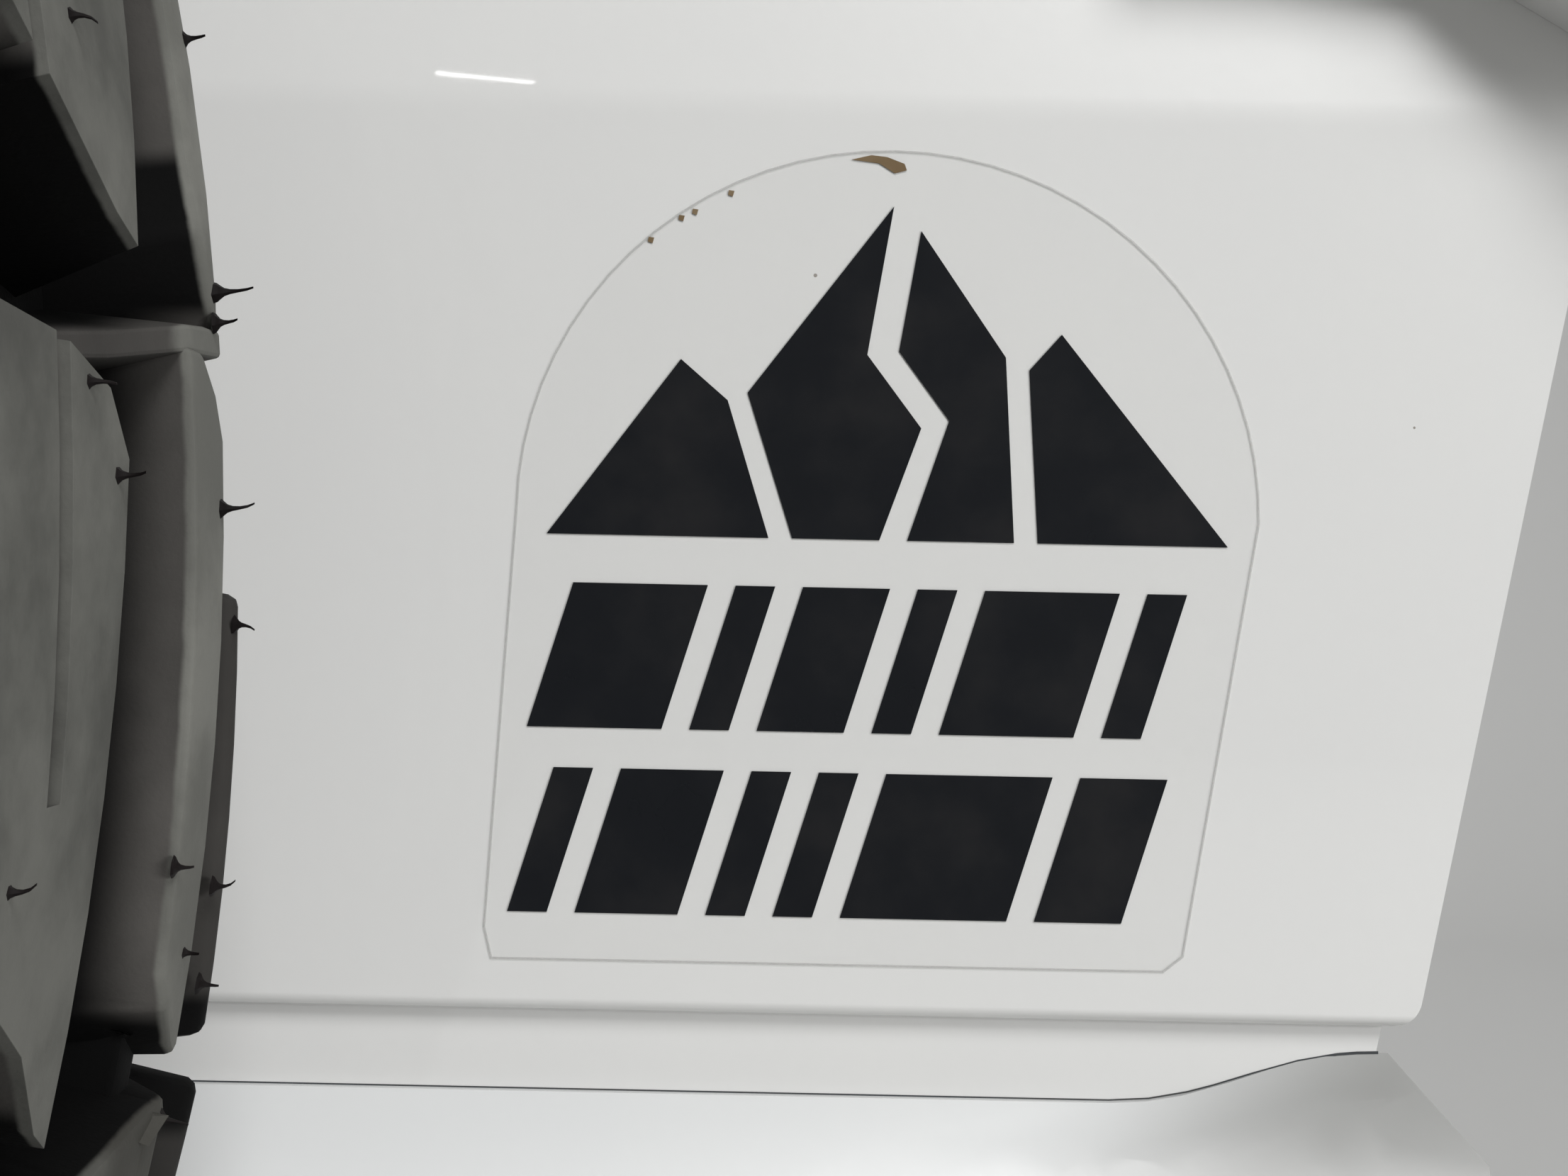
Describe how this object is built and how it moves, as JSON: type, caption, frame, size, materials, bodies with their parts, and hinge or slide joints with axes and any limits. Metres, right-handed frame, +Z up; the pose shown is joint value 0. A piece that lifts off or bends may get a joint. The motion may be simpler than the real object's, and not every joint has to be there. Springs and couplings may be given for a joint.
{
  "type": "side-hinged rear door with spare wheel",
  "caption": "Rear door of an off-road vehicle, hinged at its right edge, with window, wiper, lower bumper section and a lugged spare wheel on a carrier.",
  "frame": {"origin": "centre of the four hinge bolts, on the faces of the fixed hinge leaves that meet the vehicle", "axes": "+X to the right seen from behind the vehicle, +Y forward into the vehicle, +Z up"},
  "size_m": [1.234, 0.421, 1.1575],
  "materials": {
    "body_paint": "gloss",
    "inner_paint": "gloss",
    "bumper_paint": "gloss",
    "hinge_paint": "gloss",
    "trim": "matte",
    "rubber": "matte",
    "glass": "gloss",
    "black_plastic": "satin",
    "bright_metal": "gloss",
    "zinc": "satin",
    "red_lens": "gloss",
    "black_steel": "satin",
    "tyre": "matte",
    "wiper_metal": "satin"
  },
  "bodies": {
    "root": {"body_hinge_lower": "hinge_paint", "body_hinge_upper": "hinge_paint"},
    "door": {"outer_panel": "body_paint", "inner_panel": "inner_paint", "trim_panel": "trim", "weather_seal": "rubber", "window_glass": "glass", "window_seal": "rubber", "lower_bumper": "bumper_paint", "door_hinge_lower": "hinge_paint", "door_hinge_upper": "hinge_paint", "handle_cup": "black_plastic", "handle_pull": "black_plastic", "lock_barrel": "bright_metal", "latch": "zinc", "grab_handle": "black_plastic", "slam_buffers": "rubber", "stop_lamp_housing": "black_plastic", "stop_lamp_lens": "red_lens", "wheel_carrier": "black_steel", "spare_rim": "black_steel", "spare_tyre": "tyre", "wheel_nuts": "bright_metal", "wiper_spindle": "black_plastic"},
    "wiper": {"wiper_arm": "wiper_metal", "wiper_blade": "rubber"}
  },
  "joints": [
    {"name": "door_swing", "type": "hinge", "parent": "root", "child": "door", "pos_m": [-0.04, -0.022, 0], "axis": [0, 0, 1], "range_deg": [0, 95]},
    {"name": "wiper_sweep", "type": "hinge", "parent": "door", "child": "wiper", "pos_m": [-0.378, 0.03879, 0.147], "axis": [0, 0.9903, -0.1392], "range_deg": [0, 100]}
  ]
}
